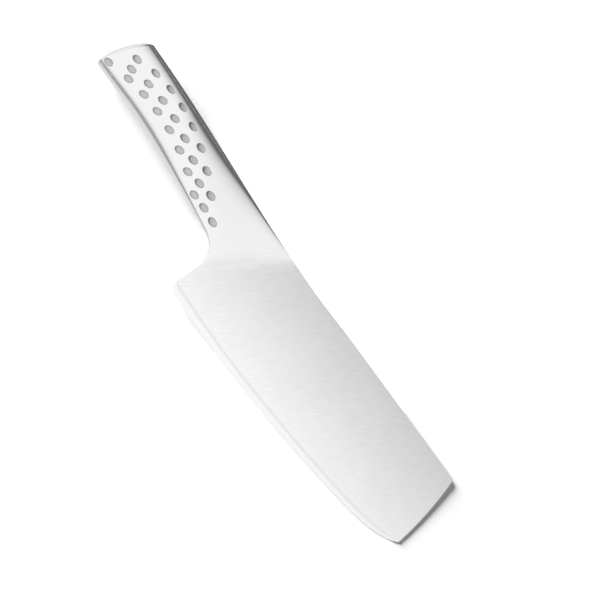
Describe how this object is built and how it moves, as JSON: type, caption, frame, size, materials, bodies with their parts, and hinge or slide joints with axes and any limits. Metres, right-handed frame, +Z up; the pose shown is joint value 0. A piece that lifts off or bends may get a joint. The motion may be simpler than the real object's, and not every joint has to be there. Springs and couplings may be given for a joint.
{
  "type": "vegetable knife",
  "caption": "All-steel vegetable knife: a deep, square-fronted blade with a long flat edge runs without a step into an oval hollow handle with rows of shallow dimples.",
  "frame": {"origin": "centre of the bounding box's underside, on the plane the knife lies on", "axes": "+X along the knife towards the blade's tip, +Y from the cutting edge towards the spine, +Z up through the thickness as the knife lies on its left side"},
  "size_m": [0.284, 0.068, 0.0181],
  "materials": {
    "brushed_blade": "brushed",
    "satin_handle": "satin",
    "balance_sand": "matte"
  },
  "bodies": {
    "root": {"blade": "brushed_blade", "handle_shell_right": "satin_handle", "handle_shell_left": "satin_handle", "end_cap": "satin_handle", "balance_fill": "balance_sand"}
  },
  "joints": []
}
